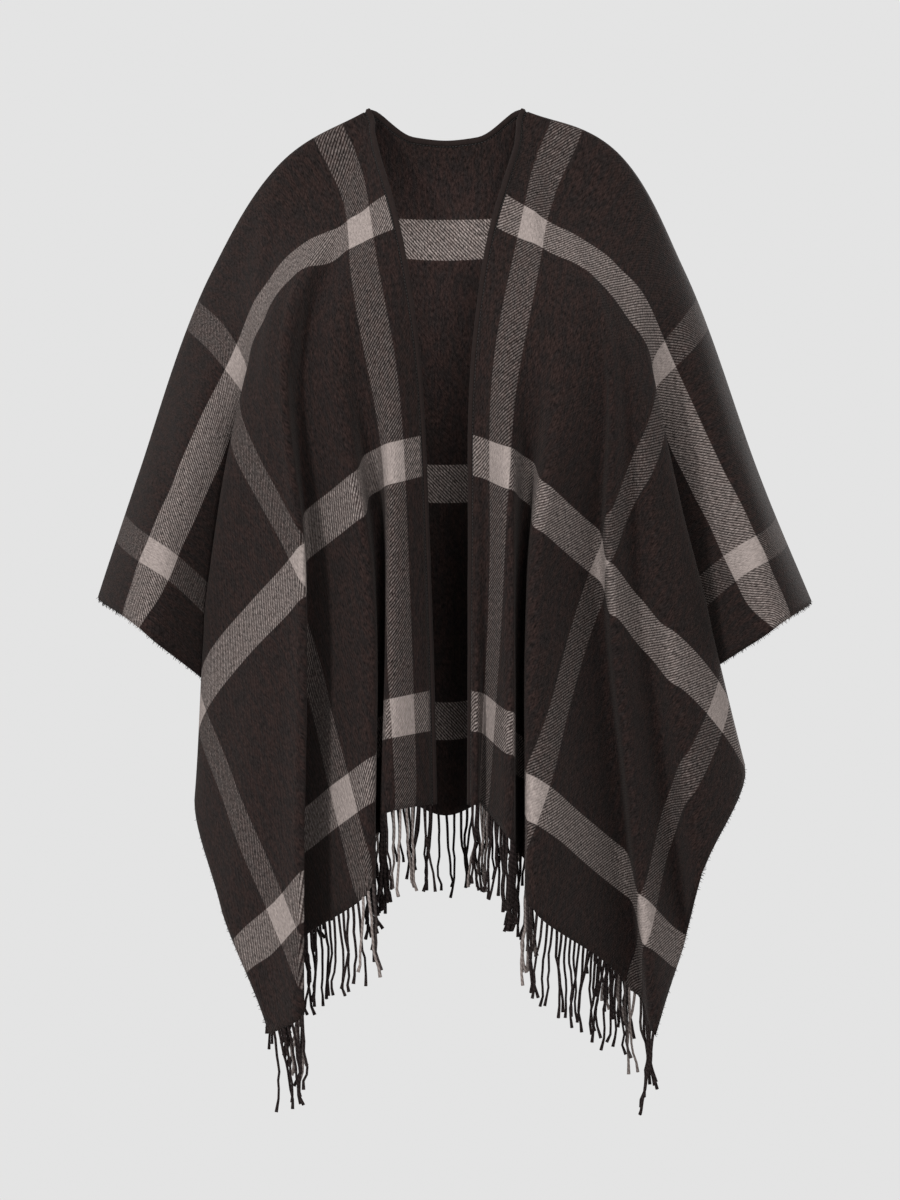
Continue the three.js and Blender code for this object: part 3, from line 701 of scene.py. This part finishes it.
def grow(piece, plan, sizes):
    """Runs a plan on a piece and leaves its result as a plain mesh."""
    modifier = piece.modifiers.new(plan.name, "NODES")
    modifier.node_group = plan
    for item in plan.interface.items_tree:
        if item.in_out == "INPUT" and item.name in sizes:
            modifier[item.identifier] = sizes[item.name]
    seen = piece.evaluated_get(bpy.context.evaluated_depsgraph_get())
    made = bpy.data.meshes.new_from_object(seen)
    piece.modifiers.remove(modifier)
    piece.data = made
    return made


STITCH_SIZES = {"Spacing": 0.0033, "Length": 0.0029, "Thickness": 0.0005}
plan, given = new_plan("row_of_stitches", STITCH_SIZES)
stitch = put(plan, "GeometryNodeMeshUVSphere", Segments=6, Rings=4, Radius=0.5)
size = put(plan, "ShaderNodeCombineXYZ", X=given["Thickness"], Y=given["Thickness"],
           Z=given["Length"])
sized = put(plan, "GeometryNodeTransform", Geometry=stitch.outputs[0], Scale=size.outputs[0])
tangent = put(plan, "GeometryNodeInputTangent")
aimed = put(plan, "FunctionNodeAlignRotationToVector", {"axis": "Z"}, Vector=tangent.outputs[0])
row = put(plan, "GeometryNodeInstanceOnPoints", Points=spaced_points(plan, given),
          Instance=sized.outputs[0], Rotation=aimed.outputs[0])
finish_plan(plan, row.outputs[0], sewing_thread)
grow(stitches, plan, STITCH_SIZES).shade_smooth()

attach(stitches, "root")

# The fringe
# At both hems the warp ends are left long and twisted together into cords 80 mm long, pale where
# they come out of a pale stripe. Each cord leaves the hem along the cloth and then hangs.
fringe_wool, tree, surface = shader("fringe_wool")
coordinate = tree.nodes.new("ShaderNodeTexCoord").outputs["Object"]
where = tree.nodes.new("ShaderNodeSeparateXYZ")
tree.links.new(coordinate, where.inputs[0])
PLY_DOWN, PLY_ACROSS = 0.0048, 0.006  # from one ply of the twist to the next
climb = calc(tree, "MULTIPLY", where.outputs[2], 2 * math.pi / PLY_DOWN)
round_cord = calc(tree, "MULTIPLY_ADD", where.outputs[0], 2 * math.pi / PLY_ACROSS, climb)
twist = calc(tree, "MULTIPLY_ADD", calc(tree, "SINE", round_cord), 0.5, 0.5)
fibres = grain(tree, coordinate, stretch=(1, 1, 0.3), scale=800.0)
paleness = tree.nodes.new("ShaderNodeAttribute")
paleness.attribute_name = "paleness"
# Painted shade between the plies, and the yarn's own colour on them
DARK_PLY_GAP_SHADE, DARK_PLY = (0.0066, 0.0044, 0.0044, 1), (0.0165, 0.0113, 0.0110, 1)
PALE_PLY_GAP_SHADE, PALE_PLY = (0.115, 0.095, 0.088, 1), (0.185, 0.157, 0.146, 1)
dark_cord = blend_colours(tree, twist, DARK_PLY_GAP_SHADE, DARK_PLY)
pale_cord = blend_colours(tree, twist, PALE_PLY_GAP_SHADE, PALE_PLY)
cord_colour = blend_colours(tree, paleness.outputs["Fac"], dark_cord, pale_cord)
tree.links.new(cord_colour, surface.inputs["Base Color"])
raise_surface(tree, surface, calc(tree, "ADD", twist, fibres), distance=0.0006)
wool_finish(surface)

# Each hem brings its own seed
FRINGE_SIZES = {"Spacing": 0.0086, "Length": 0.080, "Thickness": 0.0029, "Lean": 0.0100, "Seed": 0}
CLINGS = 0.15  # the share of its length that a cord goes along the cloth before it hangs
TIP_SWELL, TAPER = 0.45, -0.2  # the held twist at the tip, and what the cord loses on the way
plan, given = new_plan("fringe_cords", FRINGE_SIZES)
down = calc(plan, "MULTIPLY", given["Length"], -1)
tip = put(plan, "ShaderNodeCombineXYZ", Z=down)
straight = put(plan, "GeometryNodeCurvePrimitiveLine", End=tip.outputs[0])
cord = put(plan, "GeometryNodeResampleCurve", {"mode": "COUNT"}, Curve=straight.outputs[0],
           Count=10)
hung = put(plan, "GeometryNodeInstanceOnPoints", Points=spaced_points(plan, given),
           Instance=cord.outputs[0])
loose = put(plan, "GeometryNodeRealizeInstances", Geometry=hung.outputs[0])
# The way down the cord, from 0 at the hem to 1 at the tip
factor = put(plan, "GeometryNodeSplineParameter").outputs["Factor"]


def calc_vector(plan, operation, first, second=None, scale=None):
    """A Vector Math node. Each vector is three numbers or another node's output."""
    node = put(plan, "ShaderNodeVectorMath", {"operation": operation})
    for socket, value in zip(node.inputs, (first, second)):
        if isinstance(value, bpy.types.NodeSocket):
            plan.links.new(value, socket)
        elif value is not None:
            socket.default_value = value
    if scale is not None:
        plan.links.new(scale, node.inputs["Scale"])
    return node.outputs[0]


along_cloth = put(plan, "GeometryNodeInputNamedAttribute", {"data_type": "FLOAT_VECTOR"},
                  Name="along_cloth")
from_hanging = calc_vector(plan, "ADD", along_cloth.outputs[0], (0.0, 0.0, 1.0))
still_up = calc(plan, "POWER", calc(plan, "SUBTRACT", 1.0, factor), 3.0)
clings = calc(plan, "MULTIPLY", given["Length"], CLINGS)
eased = calc(plan, "MULTIPLY", calc(plan, "SUBTRACT", 1.0, still_up), clings)
follows = calc_vector(plan, "SCALE", from_hanging, scale=eased)
which = put(plan, "GeometryNodeCurveOfPoint").outputs["Curve Index"]
sway = put(plan, "FunctionNodeRandomValue", {"data_type": "FLOAT_VECTOR"}, Min=(-1.0, -1.0, -0.6),
           Max=(1.0, 1.0, 0.6), ID=which, Seed=given["Seed"])
swing = calc(plan, "MULTIPLY", calc(plan, "POWER", factor, 1.4), given["Lean"])
leans = calc_vector(plan, "SCALE", sway.outputs[0], scale=swing)
position = put(plan, "GeometryNodeInputPosition").outputs[0]
ripple = put(plan, "ShaderNodeTexNoise", Vector=position, Scale=34.0, Detail=1.0)
centred = calc_vector(plan, "SUBTRACT", ripple.outputs["Color"], (0.5, 0.5, 0.5))
widest = calc(plan, "MULTIPLY", given["Lean"], 2.0)
waves = calc_vector(plan, "SCALE", centred, scale=calc(plan, "MULTIPLY", factor, widest))
offset = calc_vector(plan, "ADD", calc_vector(plan, "ADD", follows, leans), waves)
swung = put(plan, "GeometryNodeSetPosition", Geometry=loose.outputs[0], Offset=offset)
swell = calc(plan, "POWER", factor, 12.0)
tapered = calc(plan, "MULTIPLY_ADD", factor, TAPER, 1.0)
fullness = calc(plan, "MULTIPLY_ADD", swell, TIP_SWELL, tapered)
radius = calc(plan, "MULTIPLY", calc(plan, "MULTIPLY", given["Thickness"], 0.5), fullness)
ring = put(plan, "GeometryNodeCurvePrimitiveCircle", Resolution=6, Radius=1.0)
tubes = put(plan, "GeometryNodeCurveToMesh", Curve=swung.outputs[0],
            Profile_Curve=ring.outputs[0], Fill_Caps=True, Scale=radius)
finish_plan(plan, tubes.outputs[0], fringe_wool)

HEM_TUCK = 0.6  # how far inside the hem a cord begins
HEM_SPACING = 4  # between the points along a hem
STRIPE_FADE = 0.003  # over which the yarn ends turn from dark to pale


def how_pale(place, width):
    """1 for yarn ends that lie in a stripe of the given width, and 0 away from it."""
    from_stripe = np.abs((np.abs(place) * MM) % REPEAT - REPEAT / 2)
    return np.clip((width / 2 - from_stripe) / STRIPE_FADE + 0.5, 0, 1)


def mark(mesh, name, values):
    """Keeps a number or a direction for each point of a mesh."""
    kind, key = ("FLOAT_VECTOR", "vector") if values.ndim == 2 else ("FLOAT", "value")
    mesh.attributes.new(name, kind, "POINT").data.foreach_set(key, values.ravel())


def fringe(name, from_u, to_u, towards, seed):
    """The cords below one hem, from one flat place along it to the other."""
    hem_u = np.linspace(from_u, to_u, max(2, round(abs(to_u - from_u) / HEM_SPACING)))
    hem_v = np.full_like(hem_u, towards * (HALF_LENGTH - HEM_TUCK))
    places, _, lengthwise = lie_on_cloth(hem_u, hem_v)
    mesh = open_lines(name, [places])
    mark(mesh, "along_cloth", lengthwise * towards)
    mark(mesh, "paleness", how_pale(hem_u, WARP_STRIPE))
    piece = bring_in(name, mesh)
    grow(piece, plan, {**FRINGE_SIZES, "Seed": seed}).shade_smooth()
    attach(piece, "root")
    return piece


# Where the rows of cords begin and end, by their way out from the centre
FRONT_START = HALF_NECK + EDGE_INSET + 2
FRONT_END, BACK_END = HALF_WIDTH - 6, HALF_WIDTH - 2
left_fringe = fringe("left_front_fringe", -FRONT_START, -FRONT_END, 1, 5)
right_fringe = fringe("right_front_fringe", FRONT_START, FRONT_END, 1, 9)
back_fringe = fringe("back_hem_fringe", -BACK_END, BACK_END, -1, 14)
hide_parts("fringe_front_left")
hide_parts("fringe_front_right")
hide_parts("fringe_back")

# The selvedges
# The two raw sides of the cloth are brushed like the faces, so short wool whiskers stand out of
# them all the way from the front hem over the sleeve to the back hem.
WHISKER_SIZES = {"Spacing": 0.0017, "Length": 0.0034, "Thickness": 0.0008, "Seed": 3}
DULLER = 0.8  # how pale the palest whiskers are beside the palest cords
SPRAY = 0.7  # how far a whisker may turn from straight out
plan, given = new_plan("selvedge_whiskers", WHISKER_SIZES)
whisker = put(plan, "GeometryNodeMeshCone", Vertices=4, Radius_Top=0.12, Radius_Bottom=0.5,
              Depth=1.0)
size = put(plan, "ShaderNodeCombineXYZ", X=given["Thickness"], Y=given["Thickness"],
           Z=given["Length"])
outward = put(plan, "GeometryNodeInputNamedAttribute", {"data_type": "FLOAT_VECTOR"},
              Name="outward")
scatter = put(plan, "FunctionNodeRandomValue", {"data_type": "FLOAT_VECTOR"},
              Min=[-SPRAY] * 3, Max=[SPRAY] * 3, Seed=given["Seed"])
aim = calc_vector(plan, "ADD", outward.outputs[0], scatter.outputs[0])
aimed = put(plan, "FunctionNodeAlignRotationToVector", {"axis": "Z"}, Vector=aim)
longer = put(plan, "FunctionNodeRandomValue", {"data_type": "FLOAT"}, Min=0.5, Max=1.15,
             Seed=given["Seed"])
lengths = calc_vector(plan, "SCALE", size.outputs[0], scale=longer.outputs[1])
row = put(plan, "GeometryNodeInstanceOnPoints", Points=spaced_points(plan, given),
          Instance=whisker.outputs[0], Rotation=aimed.outputs[0], Scale=lengths)
finish_plan(plan, row.outputs[0], fringe_wool)

SIDE_STOPS = 360  # down each selvedge
side_v = np.linspace(HALF_LENGTH, -HALF_LENGTH, SIDE_STOPS)
side_places, side_aims = [], []
for side in (-1, 1):
    places, side_out, lengthwise = lie_on_cloth(np.full_like(side_v, side * HALF_WIDTH), side_v)
    side_places.append(places)
    side_aims.append(side * np.cross(side_out, lengthwise))
whisker_mesh = open_lines("selvedge_whiskers", side_places)
mark(whisker_mesh, "outward", np.concatenate(side_aims))
mark(whisker_mesh, "paleness", np.tile(DULLER * how_pale(side_v, WEFT_STRIPE), 2))
whiskers = bring_in("selvedge_whiskers", whisker_mesh)
grow(whiskers, plan, WHISKER_SIZES)
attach(whiskers, "root")

# The studio
# A plain pale floor below the serape and an even pale surround. Soft lamps stand at the upper
# left, in front and behind, and a small one inside lights the inner face of the back. The camera
# stands square to the front, as in the photograph.
FLOOR = -1.28  # well clear of the fringe, which hangs to about -1
FLOOR_RADIUS = 1.0
CAMERA_PLACE = (0.0045, -4.0, -0.490)  # level with the middle of the serape

paper, tree, surface = shader("floor_paper")
surface.inputs["Base Color"].default_value = (0.52, 0.52, 0.52, 1)
surface.inputs["Roughness"].default_value = 0.9
bpy.ops.mesh.primitive_circle_add(vertices=96, radius=FLOOR_RADIUS, fill_type="NGON",
                                  location=(0, 0, FLOOR))
floor = bpy.context.object
floor.name = "floor"
floor.data.materials.append(paper)


def soft_light(name, place, towards, size, power):
    """A round lamp that faces a point and is not seen itself."""
    lamp = bpy.data.lights.new(name, "AREA")
    lamp.shape = "DISK"
    lamp.size, lamp.energy = size, power
    light = bring_in(name, lamp)
    light.location = place
    aim = np.array(towards) - np.array(place)
    light.rotation_euler = Vector(aim.tolist()).to_track_quat("-Z", "Y").to_euler()
    light.visible_camera = False


soft_light("key", (-2.3, -3.2, 1.7), (0, 0, -0.4), size=0.7, power=165)
soft_light("front", (0.7, -4.2, 0.3), (0, 0, -0.5), size=0.9, power=92)
soft_light("inside", (0, -0.03, -0.2), (0, 0.1, -0.2), size=0.18, power=0.3)
soft_light("behind", (1.5, 3.6, 1.0), (0, 0, -0.5), size=1.2, power=120)
world = bpy.data.worlds.new("studio")
world.use_nodes = True
world.node_tree.nodes["Background"].inputs["Color"].default_value = (1, 1, 1, 1)
world.node_tree.nodes["Background"].inputs["Strength"].default_value = 0.775
bpy.context.scene.world = world
bpy.context.scene.view_settings.view_transform = "Standard"

lens = bpy.data.cameras.new("camera")
lens.lens, lens.sensor_width = 120, 36
camera = bring_in("camera", lens)
camera.location = CAMERA_PLACE
camera.rotation_euler = (math.pi / 2, 0, 0)
bpy.context.scene.camera = camera
